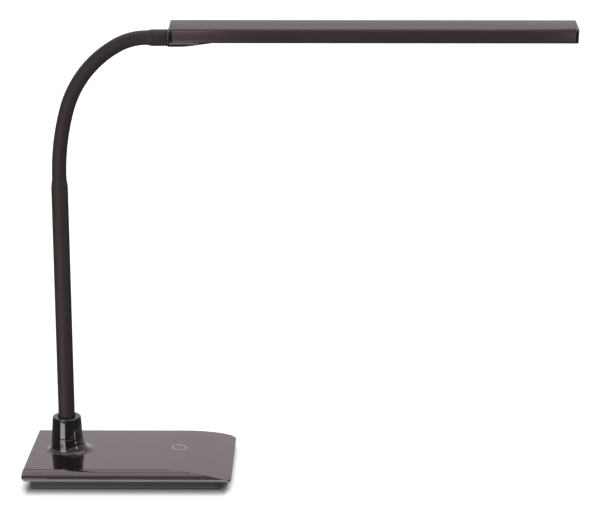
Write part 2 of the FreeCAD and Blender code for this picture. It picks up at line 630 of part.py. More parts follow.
def cap_with_plug(name, x, plug_x, holes):
    """An end cap of the bar's own outline with a low plug in the room above the web."""
    face = rounded_box(name + "_face", x, "cap_thick", half_wide, "head_low", "head_top", "head_round")
    plug = box(name + "_plug", plug_x, "0", f"{web_top} + 0.3", "4", "head_wide - 2 * head_wall - 10.4",
               f"head_top - head_wall - {web_top} - 0.6")
    return cut(name + "_solid", joined(name + "_blocks", [face, plug]), holes)


def cap_screw_holes(name, x, wide):
    return [rod(name, x, f"{side} * ({half_wide} - head_wall - 2.6)", f"{web_top} + 2.2", wide, "8", "x")
            for side in (-1, 1)]


collar_hole = rod("mount_hole", "head_start - 2", "0", "0", "mount_wide + 0.1", "8", "x")
head_piece(cap_with_plug("inner_cap", "head_start", f"{body_start} + 2",
                         [collar_hole] + cap_screw_holes("inner_hole", "head_start - 1", "2.4")
                         + cap_screw_holes("inner_sink", "head_start - 6.6", "4.6")), "inner_end_cap")
head_piece(cap_with_plug("outer_cap", body_end, f"{body_end} - 2",
                         cap_screw_holes("outer_hole", f"{body_end} - 1", "2.4")
                         + cap_screw_holes("outer_sink", f"{body_end} + 1.6", "4.6")), "outer_end_cap")
cap_screws = []
for head_x, shank_x in (("head_start + 0.1", "head_start + 1.4"),
                        (f"{body_end} + 1.6", f"{body_end} - 6.4")):
    for side in (-1, 1):
        spot = (f"{side} * ({half_wide} - head_wall - 2.6)", f"{web_top} + 2.2")
        cap_screws.append(joined("cap_screw", [rod("cap_head", head_x, *spot, "4.4", "1.3", "x"),
                                               rod("cap_shank", shank_x, *spot, "2.2", "8", "x")]))
head_piece(group("cap_screws_group", cap_screws), "end_cap_screws")

# Neck mount: a bearing for the hose's shaft whose lower half shows as a tongue under the head

mount_round = "(mount_wide / 2)"
tongue_end = "(head_start + mount_long)"
nose = "(head_start - 2.1)"
barrel = rod("mount_barrel", nose, "0", "0", "mount_wide", f"{tongue_end} - {nose}", "x")
tongue_side = padded("tongue_side", "XZ_Plane", [
    (nose, f"-{mount_round} - 1"), ("head_start + mount_flat", f"-{mount_round} - 1"),
    ("head_start + mount_flat", f"-{mount_round} - 0.3"), (tongue_end, "head_low", "tongue_round", 1),
    (tongue_end, "web_low - 0.2"), (body_start, "web_low - 0.2"), (body_start, f"{mount_round} + 1"),
    (nose, f"{mount_round} + 1")], "mount_wide * 2")
flange = box("mount_flange", f"({body_start} + board_start) / 2", "0", "head_low",
             f"board_start - {body_start} - 0.2", "mouth_wide - 0.2", "web_low - head_low - 0.2")
mount_bore = rod("mount_bore", f"{nose} - 1", "0", "0", "shaft_wide + 0.1", "clip_at - 19", "x")
clip_room = box("clip_room", "clip_at + 5.4", "0", "-6", "12.2", "12", "14")
lead_room = box("head_lead_room", "board_start - 5", "5", "1.5", "16", "3.7", "6")
mount_taps = [rod("mount_tap", x, "0", "-10", "2.6", "30") for x in screw_xs]
mount_sinks = [rod("mount_sink", x, "0", "-10", "4", "10") for x in screw_xs]
head_piece(cut("mount_solid", joined("mount_blocks", [shared("tongue", [barrel, tongue_side]), flange]),
               [mount_bore, clip_room, lead_room] + mount_taps + mount_sinks), "neck_mount")
head_piece(group("mount_screws_group", [joined("mount_screw", [
    rod("mount_head", x, "0", "-1.5", "3.8", "1.5"),
    rod("mount_shank", x, "0", "0", "2.5", f"{web_top}")]) for x in screw_xs]), "mount_screws")
strip_start = num(f"{strip_mid} - {strip_long} / 2 - 0.1")
shaft_end = num("clip_at + 4.5")
head_piece(lead("head_route", [V(shaft_end, 0, 0), V(shaft_end + 2.5, 0, 0), V(shaft_end + 6, 5, 3.2),
                               V(strip_start, 5, 3.2)], 3.0, num("lead_wide - 0.2")), "head_lead")

# Every object has to be sound before a file is written

doc.recompute()
for item in doc.Objects:
    if {"Invalid", "Error"} & set(item.State):
        raise SystemExit(f"{item.Label} failed: {item.State}")
os.makedirs("parts", exist_ok=True)
for piece in pieces:
    shape = piece.Shape
    if shape.isNull() or not shape.isValid() or not shape.Solids:
        raise SystemExit(f"{piece.Label} is not a sound solid")
for piece in pieces:
    piece.Shape.exportStep(f"parts/{piece.Label}.step")
print(len(pieces), "pieces")
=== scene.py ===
import math

import bmesh
import bpy
from mathutils import Matrix, Vector


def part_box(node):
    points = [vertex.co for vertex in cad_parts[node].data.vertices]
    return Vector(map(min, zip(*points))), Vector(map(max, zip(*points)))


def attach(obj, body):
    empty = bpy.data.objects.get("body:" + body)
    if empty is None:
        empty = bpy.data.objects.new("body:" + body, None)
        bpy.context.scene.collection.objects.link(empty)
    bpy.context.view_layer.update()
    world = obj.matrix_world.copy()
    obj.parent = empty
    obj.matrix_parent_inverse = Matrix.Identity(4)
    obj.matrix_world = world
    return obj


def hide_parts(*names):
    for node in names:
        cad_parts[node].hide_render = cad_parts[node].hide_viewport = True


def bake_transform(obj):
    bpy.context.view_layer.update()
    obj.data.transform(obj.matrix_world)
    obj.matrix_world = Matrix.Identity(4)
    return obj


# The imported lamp, in metres, and the camera at the photographed viewpoint.
# A level desk lamp seen slightly from above, square to its long side, through a long lens.

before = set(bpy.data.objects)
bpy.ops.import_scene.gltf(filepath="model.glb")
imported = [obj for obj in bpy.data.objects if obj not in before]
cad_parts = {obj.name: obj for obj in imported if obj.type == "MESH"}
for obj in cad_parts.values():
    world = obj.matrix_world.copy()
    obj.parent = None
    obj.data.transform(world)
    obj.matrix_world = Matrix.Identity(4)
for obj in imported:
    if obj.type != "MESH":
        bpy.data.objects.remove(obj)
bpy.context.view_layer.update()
MM = 0.001
PHOTO_WIDE, PHOTO_FOCAL = 600, 1896.9
camera = bpy.data.objects.new("camera", bpy.data.cameras.new("camera"))
camera.data.lens = camera.data.sensor_width * PHOTO_FOCAL / PHOTO_WIDE
camera.location = Vector((178.8, -1772.0, 655.5)) * MM
camera.rotation_euler = (math.radians(90 - 14.0), 0, math.radians(0.42))
camera.data.clip_end = 20
bpy.context.collection.objects.link(camera)
bpy.context.scene.camera = camera


# Base cover: the glossy plum-brown moulding that covers the weighted foot of the lamp.
# Injection moulded, flat on top, with a rolled shoulder, an undercut lip and a flared boss.
# It drops over the tray and is held by four screws from below.

class Flow:
    """A shader socket that takes part in Python sums; each operator adds its own node."""

    tree = None

    def __init__(self, socket):
        self.socket = socket

    @staticmethod
    def link(socket, value):
        if isinstance(value, Flow):
            Flow.tree.links.new(value.socket, socket)
        else:
            socket.default_value = value

    @staticmethod
    def node(kind, *values, out=0, settings=None, **named):
        """Any node: its settings first, then the values or links of its sockets."""
        node = Flow.tree.nodes.new(kind)
        for name, setting in (settings or {}).items():
            setattr(node, name, setting)
        for index, value in enumerate(values):
            Flow.link(node.inputs[index], value)
        for name, value in named.items():
            Flow.link(node.inputs[name.replace("_", " ")], value)
        return Flow(node.outputs[out])

    def maths(self, operation, *others):
        return Flow.node("ShaderNodeMath", self, *others, settings={"operation": operation})

    def vector(self, operation, *others, out=0):
        return Flow.node("ShaderNodeVectorMath", self, *others, out=out, settings={"operation": operation})

    def part(self, axis):
        return Flow.node("ShaderNodeSeparateXYZ", self, out=axis)

    def __add__(self, other):
        return self.maths("ADD", other)

    def __sub__(self, other):
        return self.maths("SUBTRACT", other)

    def __mul__(self, other):
        return self.maths("MULTIPLY", other)

    def __rsub__(self, other):
        return Flow.node("ShaderNodeMath", other, self, settings={"operation": "SUBTRACT"})

    __radd__, __rmul__ = __add__, __mul__

    def mix(self, low, high):
        """Blends two colours, with this value as the factor."""
        mixer = Flow.tree.nodes.new("ShaderNodeMix")
        mixer.data_type = "RGBA"
        Flow.link(mixer.inputs["Factor"], self)
        Flow.link(mixer.inputs["A"], low)
        Flow.link(mixer.inputs["B"], high)
        return Flow(mixer.outputs["Result"])

    def between(self, low, high, start=0.0, end=1.0):
        """This value read from low..high as start..end."""
        return Flow.node("ShaderNodeMapRange", self, low, high, start, end)


def place_on_piece(scale=1.0, stretch=(1, 1, 1)):
    """Coordinates fixed to the piece itself, in metres times scale."""
    here = Flow.node("ShaderNodeTexCoord", out="Object")
    return here.vector("MULTIPLY", tuple(scale * share for share in stretch))


def noise(scale, detail=3.0, stretch=(1, 1, 1)):
    here = place_on_piece(scale, stretch)
    return Flow.node("ShaderNodeTexNoise", Vector=here, Scale=1.0, Detail=detail)


def new_material(name):
    """An empty material, whose nodes the next Flow values become."""
    material = bpy.data.materials.new(name)
    material.use_nodes = True
    Flow.tree = material.node_tree
    return material


def finish_of(colour, roughness, height=None, depth=0.0, **others):
    """Colour, roughness, relief and other values for the material begun last."""
    shader = Flow.tree.nodes["Principled BSDF"]
    Flow.link(shader.inputs["Base Color"], colour)
    Flow.link(shader.inputs["Roughness"], roughness)
    for socket, value in others.items():
        Flow.link(shader.inputs[socket.replace("_", " ")], value)
    if height is not None:
        bump = Flow.node("ShaderNodeBump", Height=height, Distance=depth, Strength=1.0)
        Flow.link(shader.inputs["Normal"], bump)


def srgb(red, green, blue):
    """A colour given as the screen shows it, 0 to 255."""
    def linear(level):
        level /= 255
        return level / 12.92 if level <= 0.04045 else ((level + 0.055) / 1.055) ** 2.4
    return (linear(red), linear(green), linear(blue), 1.0)


def new_piece(name, mesh_data, body, material, node=None, smooth=35):
    """Puts a finished bmesh into the scene as a piece that rides on a body."""
    mesh = bpy.data.meshes.new(name)
    bmesh.ops.remove_doubles(mesh_data, verts=mesh_data.verts, dist=1e-7)
    bmesh.ops.dissolve_degenerate(mesh_data, edges=mesh_data.edges, dist=1e-7)
    bmesh.ops.recalc_face_normals(mesh_data, faces=mesh_data.faces)
    limit = math.radians(smooth)
    for face in mesh_data.faces:
        face.smooth = True
    for edge in mesh_data.edges:
        edge.smooth = len(edge.link_faces) == 2 and edge.calc_face_angle(0) < limit
    mesh_data.to_mesh(mesh)
    mesh_data.free()
    mesh.materials.append(material)
    piece = bpy.data.objects.new(name, mesh)
    bpy.context.collection.objects.link(piece)
    if body:
        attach(piece, body)
    if node:
        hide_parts(node)
    return piece


def skin(rings, capped=True):
    """A surface through rings of points, each of them a closed loop."""
    made = bmesh.new()
    rows = [[made.verts.new(point) for point in ring] for ring in rings]
    count = len(rows[0])
    for row, after in zip(rows, rows[1:]):
        for index in range(count):
            step = (index + 1) % count
            made.faces.new((row[index], row[step], after[step], after[index]))
    if capped:
        made.faces.new(rows[0])
        made.faces.new(rows[-1])
    return made


def turns(steps):
    """Equal steps of one full turn."""
    return [2 * math.pi * step / steps for step in range(steps)]


def lathe(profile, centre, steps=96):
    """A turned piece about an upright line: profile is a closed list of (radius, height)."""
    rings = [[Vector((centre.x + radius * math.cos(turn), centre.y + radius * math.sin(turn), height))
              for radius, height in profile] for turn in turns(steps)]
    return skin(rings + rings[:1], capped=False)


def arc_between(start, end, radius, turn, steps):
    """Points of the short arc from start to end; turn is 1 for anticlockwise."""
    start, end = Vector(start), Vector(end)
    chord = end - start
    rise = math.sqrt(max(radius ** 2 - chord.length_squared / 4, 0))
    centre = (start + end) / 2 + Vector((-chord.y, chord.x)).normalized() * rise * turn
    first = math.atan2(start.y - centre.y, start.x - centre.x)
    sweep = math.atan2(end.y - centre.y, end.x - centre.x) - first
    sweep = (sweep + math.pi) % (2 * math.pi) - math.pi
    angles = [first + sweep * step / steps for step in range(steps + 1)]
    return [centre + Vector((math.cos(angle), math.sin(angle))) * radius for angle in angles]


def softened(line, corner, reach, steps=8):
    """A line of points with the corner nearest to the given one rounded over reach on each side."""
    corner = Vector(corner)
    before = [Vector(point) for point in line]
    index = min(range(len(before)), key=lambda place: (before[place] - corner).length)
    kept_first = [point for point in before[:index] if (point - corner).length > reach]
    kept_last = [point for point in before[index + 1:] if (point - corner).length > reach]
    first = corner + (kept_first[-1] - corner).normalized() * reach
    last = corner + (kept_last[0] - corner).normalized() * reach
    shares = [step / steps for step in range(steps + 1)]
    round_part = [first.lerp(corner, share).lerp(corner.lerp(last, share), share) for share in shares]
    return kept_first + round_part + kept_last


def read(line, value, along_axis, across_axis):
    """One coordinate of a line of points where the other has the value given."""
    for first, last in zip(line, line[1:]):
        low, high = sorted((first[along_axis], last[along_axis]))
        if low <= value <= high and high > low:
            share = (value - first[along_axis]) / (last[along_axis] - first[along_axis])
            return first[across_axis] + (last[across_axis] - first[across_axis]) * share
    nearest = min((line[0], line[-1]), key=lambda point: abs(value - point[along_axis]))
    return nearest[across_axis]


HALF_LONG, HALF_WIDE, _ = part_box("base_cover")[1]
COVER_FLOOR, WAIST, COVER_TOP = 8.7 * MM, 12.2 * MM, 19.0 * MM
LIP_IN, LIP_ROUND, CREASE_IN, CREASE_STEP = 2.5 * MM, 1.3 * MM, 8.3 * MM, 0.35 * MM
SHOULDER_ROUND, CORNER = 12.2 * MM, 8 * MM
END_ROUND, END_LEAN, END_EDGE, END_FLAT = 28 * MM, 0.8 * MM, 1.4 * MM, 6 * MM
FALL_START, FALL_ROUND, END_THIN = 33 * MM, 262 * MM, 1.6 * MM
collar_low, collar_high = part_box("collar")
neck = Vector(((collar_low.x + collar_high.x) / 2, (collar_low.y + collar_high.y) / 2, 0))

# The long side's edge, as half width and height, and the left end's, as place along and height.
crease = (HALF_WIDE - CREASE_IN, COVER_TOP - CREASE_STEP)
side_edge = [(HALF_WIDE - LIP_IN, COVER_FLOOR)]
side_edge += arc_between((HALF_WIDE, WAIST), crease, SHOULDER_ROUND, 1, 60)
side_edge = softened(side_edge, (HALF_WIDE, WAIST), LIP_ROUND)
end_top = (-HALF_LONG + END_LEAN, COVER_TOP)
end_edge = [(-HALF_LONG + LIP_IN, COVER_FLOOR)]
end_edge += arc_between((-HALF_LONG, WAIST), end_top, END_ROUND, -1, 30)
end_edge += [(-HALF_LONG + END_LEAN + END_FLAT, COVER_TOP)]
end_edge = softened(softened(end_edge, (-HALF_LONG, WAIST), LIP_ROUND), end_top, END_EDGE)
tip = min(range(len(end_edge)), key=lambda place: end_edge[place].x)
end_under, end_over = end_edge[:tip + 1][::-1], end_edge[tip:]


def fall_at(x):
    """Height of the top where it falls away towards the right end."""
    return COVER_TOP - FALL_ROUND + math.sqrt(FALL_ROUND ** 2 - (x - FALL_START) ** 2)


def cover_heights(x):
    """Lowest and highest point of the cover's side outline at x."""
    low, high = COVER_FLOOR, COVER_TOP
    if x < end_under[-1].x:
        low = read(end_under, x, 0, 1)
    if x < end_over[-1].x:
        high = read(end_over, x, 0, 1)
    if x > FALL_START:
        high = fall_at(x)
    if x > HALF_LONG - END_THIN:
        low = COVER_FLOOR + (fall_at(HALF_LONG) - COVER_FLOOR) * (x - HALF_LONG + END_THIN) / END_THIN
    return low, max(high, low)


def half_width(x, z):
    """Half the cover's width at a height, where the plan's round corners allow."""
    wide = read(side_edge, z, 1, 0)
    inside = x - (HALF_LONG - CORNER)
    if inside > 0:
        wide = min(wide, HALF_WIDE - CORNER + math.sqrt(max(CORNER ** 2 - inside ** 2, 0)))
    return wide


def cover_ring(x):
    """The cover's outline across its width at x; the flat top stands a little proud of the shoulder."""
    low, high = cover_heights(x)
    proud = CREASE_STEP if high > low + 2 * MM else 0
    heights = [min(max(point.y, low), high - proud) for point in side_edge]
    right = [Vector((x, half_width(x, height), height)) for height in heights]
    edge = right[-1].y
    right += [Vector((x, edge - 0.05 * MM, high - proud * 0.2)), Vector((x, edge - 0.25 * MM, high))]
    across = [share / 12 for share in range(1, 12)]
    top = [Vector((x, right[-1].y * (1 - 2 * share), high)) for share in across]
    left = [Vector((x, -point.y, point.z)) for point in reversed(right)]
    under = [Vector((x, -right[0].y * (1 - 2 * share), low)) for share in across]
    return right + top + left + under


stations = sorted(point.x for point in end_edge) + [FALL_START]
stations += [FALL_START + (HALF_LONG - CORNER - FALL_START) * step / 36 for step in range(1, 37)]
for start, reach, count in ((HALF_LONG - CORNER, CORNER - END_THIN, 10), (HALF_LONG - END_THIN, END_THIN, 5)):
    stations += [start + reach * math.sin(math.pi / 2 * step / count) for step in range(1, count + 1)]

# The polish has a metallic depth on the flat top and sides, and is plain black gloss on the boss.
cover_gloss = new_material("cover_gloss")
flat_part = 1 - place_on_piece().part("Z").between(COVER_TOP + 0.1 * MM, COVER_TOP + 2.5 * MM)
cloud, dust = noise(22, 4), noise(900, 2)
plum = cloud.between(0.3, 0.7).mix(srgb(45, 36, 38), srgb(50, 40, 43))
shine = cloud.between(0.35, 0.75, 0.05, 0.08) + dust.between(0.62, 0.8, 0, 0.05)
finish_of(flat_part.mix(srgb(12, 10, 10), plum), shine, noise(60, 2), 0.00001, Metallic=flat_part * 0.8,
          Coat_Weight=flat_part * 0.45, Specular_Tint=(1.0, 0.86, 0.88, 1.0))
cover = new_piece("base_cover_shell", skin([cover_ring(x) for x in stations]), None,
                  cover_gloss, "base_cover", smooth=12)

# The boss's rings as radius, height and shift to the right, in millimetres, from its foot up.
# Above the foot they are drawn in towards the front and the back.
flare = [(25.6, 19.0, 3.1), (25.2, 19.0, 3.0), (24.0, 19.06, 2.8), (22.6, 19.2, 2.5), (21.2, 19.5, 2.15),
         (19.9, 19.95, 1.85), (18.9, 20.55, 1.55), (18.0, 21.4, 1.25), (17.3, 22.5, 0.95), (16.7, 23.9, 0.65),
         (16.2, 25.8, 0.4), (15.8, 28.1, 0.2), (15.5, 30.6, 0.08), (15.3, 33.2, 0), (15.2, 33.5, 0),
         (14.95, 33.6, 0), (9.2, 33.6, 0)]
FOOT_RADIUS, _, FOOT_SHIFT = flare[0]
DRAWN_FROM, DRAWN_IN = 15.6, 0.5
rings = []
for radius, height, shift in flare:
    deep = radius if radius > 25 else min(radius, DRAWN_FROM + (radius - DRAWN_FROM) * DRAWN_IN)
    rings.append([neck + Vector((radius * math.cos(turn) + shift, deep * math.sin(turn), height)) * MM
                  for turn in turns(128)])
boss = new_piece("boss", skin(rings, capped=False), None, cover_gloss, smooth=40)


def drum(centre, radius, low, high, inner=1e-5, steps=96):
    """An upright cylinder or ring."""
    return lathe([(inner, low), (radius, low), (radius, high), (inner, high)], centre, steps)


def carve(piece, mesh_data):
    """Takes the room of a closed mesh out of a piece."""
    mesh = bpy.data.meshes.new("cutter")
    bmesh.ops.recalc_face_normals(mesh_data, faces=mesh_data.faces)
    mesh_data.to_mesh(mesh)
    mesh_data.free()
    tool = bpy.data.objects.new("cutter", mesh)
    bpy.context.collection.objects.link(tool)
    carver = piece.modifiers.new("carve", "BOOLEAN")
    carver.operation = "DIFFERENCE"
    carver.object = tool
    carver.solver = "EXACT"
    shown = piece.evaluated_get(bpy.context.evaluated_depsgraph_get())
    mesh = bpy.data.meshes.new_from_object(shown)
    piece.modifiers.clear()
    piece.data = mesh
    bpy.data.objects.remove(tool)


def join(piece, other):
    """Makes two separate meshes one piece."""
    made = bmesh.new()
    made.from_mesh(piece.data)
    made.from_mesh(other.data)
    made.to_mesh(piece.data)
    made.free()
    bpy.data.objects.remove(other)


ring_low, ring_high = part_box("touch_ring")
ring_spot = (ring_low + ring_high) / 2
boss_spot = neck + Vector((FOOT_SHIFT, 0, 0)) * MM
PLUG_ROOM, PLUG_HIGH = 6 * MM, 5.5 * MM
plug_notch = drum(Vector((0, 0, 0)), PLUG_ROOM, -PLUG_ROOM, PLUG_ROOM, steps=64)
plug_place = Matrix.Translation((neck.x, HALF_WIDE - 0.2 * MM, PLUG_HIGH))
plug_notch.transform(plug_place @ Matrix.Rotation(math.pi / 2, 4, "X"))
carve(cover, drum(boss_spot, FOOT_RADIUS * MM, 17.5 * MM, 20 * MM, steps=128))
carve(cover, drum(ring_spot, 7.5 * MM, 17.2 * MM, 20 * MM, inner=6.3 * MM))
carve(cover, plug_notch)
join(cover, boss)
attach(cover, "base")


def satin_plastic(name, dark, light, low, high, grain=2600, depth=0.00001, **others):
    """Spark-eroded moulding: a fine even grain, slightly cloudy."""
    material = new_material(name)
    cloud = noise(30, 4)
    finish_of(cloud.between(0.3, 0.7).mix(dark, light), cloud.between(0.3, 0.7, low, high),
              noise(grain, 2), depth, **others)
    return material


def paint(piece, material, chosen):
    """Gives a second finish to the faces of a piece that a rule picks out."""
    piece.data.materials.append(material)
    for face in piece.data.polygons:
        if chosen(face):
            face.material_index = 1


# The lip's sloping underside is given a lighter satin finish all the way round: a painted highlight along the
# cover's lower edge.
lip_painted_highlight = satin_plastic("lip_painted_highlight", srgb(134, 127, 129), srgb(144, 137, 139), 0.3, 0.36)
paint(cover, lip_painted_highlight, lambda face: -0.95 < face.normal.z < -0.3 and face.center.z < WAIST - 0.6 * MM)


# Touch ring: a thin ring of frosted plastic pressed into the cover's top.
# It marks the touch switch; the foam electrode lies under it.

ring_frost = new_material("ring_frost")
finish_of(noise(300, 3).between(0.3, 0.7).mix(srgb(176, 172, 172), srgb(190, 186, 186)),
          noise(900, 2).between(0.3, 0.7, 0.3, 0.42))
# Radius and rise above the cover's sloping top, in millimetres.
ring_profile = [(6.42, -0.7), (6.42, -0.06), (6.5, 0.0), (7.3, 0.0), (7.38, -0.06), (7.38, -0.7)]
rings = []
for turn in turns(96):
    ring = []
    for radius, rise in ring_profile:
        x = ring_spot.x + radius * MM * math.cos(turn)
        ring.append((x, ring_spot.y + radius * MM * math.sin(turn), cover_heights(x)[1] + rise * MM))
    rings.append(ring)
new_piece("touch_ring_trim", skin(rings + rings[:1], capped=False), "base", ring_frost,
          "touch_ring", smooth=50)


# Tray, pad and what the base holds: the tray is an inset moulding that closes the cover from below.
# It is satin where the cover is polished; the pad under it is soft rubber with a fine cast grain.
# Inside are the board, the ballast plate, the leads and plated screws, and the neck's bare steel.

def dress(material, *nodes):
    """A finish for CAD nodes whose shape stays as packed."""
    for name in nodes:
        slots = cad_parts[name].data.materials
        if not slots:
            slots.append(material)
        for index in range(len(slots)):
            slots[index] = material


tray_satin = new_material("tray_satin")
cloud = noise(30, 4)
# The tray's lowest band is painted lighter: a painted highlight standing for a bevel along its foot edge.
foot_painted_highlight = 1 - place_on_piece().part("Z").between(2.9 * MM, 3.3 * MM)
tray_brown = cloud.between(0.3, 0.7).mix(srgb(39, 34, 34), srgb(45, 39, 38))
finish_of(foot_painted_highlight.mix(tray_brown, srgb(75, 68, 68)), cloud.between(0.3, 0.7, 0.38, 0.46),
          noise(2600, 2), 0.00001)
dress(tray_satin, "base_tray")
dress(satin_plastic("pad_rubber", srgb(22, 21, 21), srgb(30, 29, 29), 0.7, 0.85, 1400, 0.00004),
      "non_slip_pad")
dress(satin_plastic("touch_foam", srgb(30, 30, 32), srgb(40, 40, 43), 0.85, 0.95, 900, 0.0002),
      "touch_foam")
dress(satin_plastic("inlet_plastic", srgb(18, 18, 18), srgb(26, 26, 26), 0.35, 0.45), "dc_socket")
dress(satin_plastic("lead_sheath", srgb(24, 23, 23), srgb(34, 33, 33), 0.45, 0.6, 1500),
      "power_lead", "neck_lead", "head_lead", *[f"lead_{count}" for count in range(1, 9)])
dress(satin_plastic("component_plastic", srgb(20, 20, 22), srgb(32, 32, 34), 0.4, 0.55), "board_parts")
dress(satin_plastic("board_green", srgb(24, 84, 48), srgb(32, 100, 58), 0.3, 0.4, 700),
      "control_board", "led_board")


def worked_metal(name, dark, light, low, high, stretch=(1, 1, 1), grain=500):
    """Bare or plated metal with the marks of its making."""
    material = new_material(name)
    marks = noise(grain, 4, stretch)
    finish_of(noise(40, 3).between(0.3, 0.7).mix(dark, light), marks.between(0.3, 0.7, low, high),
              marks, 0.00001, Metallic=1.0)
    return material


dress(worked_metal("ballast_steel", srgb(118, 116, 114), srgb(140, 138, 135), 0.4, 0.6, (1, 8, 1)),
      "ballast_plate")
dress(worked_metal("screw_zinc", srgb(70, 70, 72), srgb(96, 96, 99), 0.25, 0.4, grain=1500),
      "base_screws", "board_screws", "end_cap_screws", "mount_screws")
dress(worked_metal("plain_steel", srgb(150, 150, 150), srgb(172, 172, 172), 0.25, 0.4, (1, 1, 6)),
      "neck_stem", "anchor_plate", "neck_nut", "hose_ferrule", "hose_end_fitting", "fitting_clip")
dress(worked_metal("tube_steel", srgb(140, 140, 140), srgb(160, 160, 160), 0.3, 0.45, (1, 1, 8)),
      "neck_tube")
dress(worked_metal("hose_steel", srgb(120, 120, 122), srgb(150, 150, 152), 0.3, 0.5, (2, 2, 2)),
      *[f"hose_{count}" for count in range(1, 9)])


# Collar: a gloss black ring, turned to a slight taper, that hides the neck's joint on the boss.
# A rubber grommet in its mouth centres the sleeved tube.

def gloss_plastic(name, dark, light, roughness, smear):
    """Polished moulding: a hardly varying colour, faint dust and finger smears in the gloss."""
    material = new_material(name)
    cloud, dust = noise(22, 4), noise(900, 2)
    shine = cloud.between(0.35, 0.75, roughness, roughness + smear) + dust.between(0.62, 0.8, 0, 0.05)
    finish_of(cloud.between(0.3, 0.7).mix(dark, light), shine, noise(60, 2), 0.00001)
    return material


collar_gloss = gloss_plastic("collar_gloss", srgb(14, 12, 12), srgb(18, 15, 15), 0.05, 0.02)
RIM_RADIUS, RIM_HIGH, RIM_ROUND = 13.8, 52.4, 1.1
rim_turns = [math.pi / 2 * step / 10 for step in range(1, 11)]
collar_line = [(9.0, 33.8), (14.7, 33.8), (14.92, 33.86), (15.06, 34.05), (15.06, 34.4), (13.84, 52.3)]
collar_line += [(RIM_RADIUS - RIM_ROUND + RIM_ROUND * math.cos(turn), RIM_HIGH + RIM_ROUND * math.sin(turn))
                for turn in rim_turns]
collar_line += [(9.8, 53.5), (9.55, 53.44), (9.4, 53.3), (9.0, 52.9)]
new_piece("collar_ring", lathe([(radius * MM, height * MM) for radius, height in collar_line], neck, 128),
          "base", collar_gloss, "collar", smooth=40)
dress(satin_plastic("grommet_rubber", srgb(20, 19, 19), srgb(28, 27, 27), 0.6, 0.75, 1200, 0.00003),
      "grommet")


# Neck sleeve: smooth matt rubber drawn over a steel tube below and a wound steel hose above.
# It steps down where the hose begins, and follows the hose's level-ended curve.
# The sizes are in millimetres; distances are measured along the hose from where the tube ends.

HOSE_SKIN, TUBE_SKIN, TUBE_TOP, STRAIGHT = 6.9, 8.0, 283.9, 10.0
ARCS = [(232.2, 15.9), (102.4, 45.5), (57.3, 28.6)]
TWIST, FIRST_BEND, BEND_GAP, BEND_REACH, HOSE_LONG = 5.0, 15.0, 26.0, 12.5, 184.36


def along(distance):
    """Place and heading on the neck's middle line."""
    place, lean, left = Vector((neck.x / MM, neck.y / MM, TUBE_TOP)), 0.0, distance - STRAIGHT
    if left <= 0:
        return place + Vector((0, 0, distance)), Vector((0, 0, 1))
    place.z += STRAIGHT
    for radius, degrees in ARCS:
        part = min(left / radius, math.radians(degrees))
        place += radius * Vector((math.cos(lean) - math.cos(lean + part), 0,
                                  math.sin(lean + part) - math.sin(lean)))
        lean += part
        left -= radius * part
        if left <= 1e-9:
            break
    heading = Vector((math.sin(lean), 0, math.cos(lean)))
    return place + max(left, 0) * heading, heading


def skin_radius(distance):
    """Half the sleeve's width: it tapers from the tube's skin to the hose's."""
    share = min(max((distance + 2) / 12, 0), 1)
    share = share * share * (3 - 2 * share)
    return TUBE_SKIN + (HOSE_SKIN - TUBE_SKIN) * share


def sleeve(distances):
    rings = []
    for distance in distances:
        place, heading = along(distance)
        side, up = Vector((0, 1, 0)), heading.cross(Vector((0, 1, 0)))
        rings.append([(place + (side * math.cos(turn) + up * math.sin(turn)) * skin_radius(distance)) * MM
                      for turn in turns(64)])
    return skin(rings, capped=False)


def spread(start, end, gap):
    """Even steps from start to end, about a gap apart."""
    count = max(1, round((end - start) / gap))
    return [start + (end - start) * step / count for step in range(count + 1)]


sleeve_rubber = satin_plastic("sleeve_rubber", srgb(43, 37, 36), srgb(48, 42, 40), 0.5, 0.58, 2200,
                              Specular_IOR_Level=0.12)
foot_steps = [-238.4, -180, -120, -60, -20] + spread(-2, TWIST, 1)
new_piece("neck_sleeve_foot", sleeve(foot_steps), "base", sleeve_rubber, "tube_sleeve",
          smooth=60)
bends = [FIRST_BEND + BEND_GAP * step for step in range(7)]
cuts = [TWIST] + [(low + high) / 2 for low, high in zip(bends, bends[1:])] + [HOSE_LONG]
for count, bend in enumerate(bends, start=1):
    piece = new_piece(f"neck_sleeve_{count}", sleeve(spread(cuts[count - 1], cuts[count], 1)), None,
                      sleeve_rubber, smooth=60)
    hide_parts(*([f"sleeve_{count}"] if count < 7 else ["sleeve_7", "sleeve_8"]))
    start, end = max(bend - BEND_REACH, TWIST + 2), bend + BEND_REACH
    along(start)[0] * MM
    along(end)[0] * MM
    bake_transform(piece)


# Cuff: the thickened end of the neck's rubber sleeve, moulded in one with it.
# It turns in the head's bearing ring.

HEAD_ROLL = 12.0
at_end = Matrix.Translation(along(HOSE_LONG)[0] * MM)
at_head = at_end @ Matrix.Rotation(math.radians(HEAD_ROLL), 4, "X")


def turned(profile):
    """A piece turned about the level hose end: profile is a closed list of (distance, radius)."""
    rings = [[Vector((x, radius * math.cos(turn), radius * math.sin(turn))) * MM for x, radius in profile]
             for turn in turns(96)]
    return skin(rings + rings[:1], capped=False)


cuff_line = [(-1.0, 5.4), (-1.0, 6.8), (0.0, 6.9), (0.8, 6.96), (1.8, 7.1), (3.0, 7.4), (4.0, 7.68),
             (4.8, 7.82), (5.6, 7.85), (18.9, 7.85), (19.2, 7.78), (19.38, 7.6), (19.4, 7.3), (19.4, 5.4)]
cuff_mesh = turned(cuff_line)
cuff_mesh.transform(at_end)
new_piece("cuff", cuff_mesh, "link_8", sleeve_rubber, "cuff_sleeve", smooth=45)


# Head bar: a slim aluminium extrusion, anodised dark, open below for the light's diffuser.
# The caps at its ends are gloss black mouldings, each held by two screws.
# The sizes are in millimetres, measured from the hose's end and in the head's own tilt.

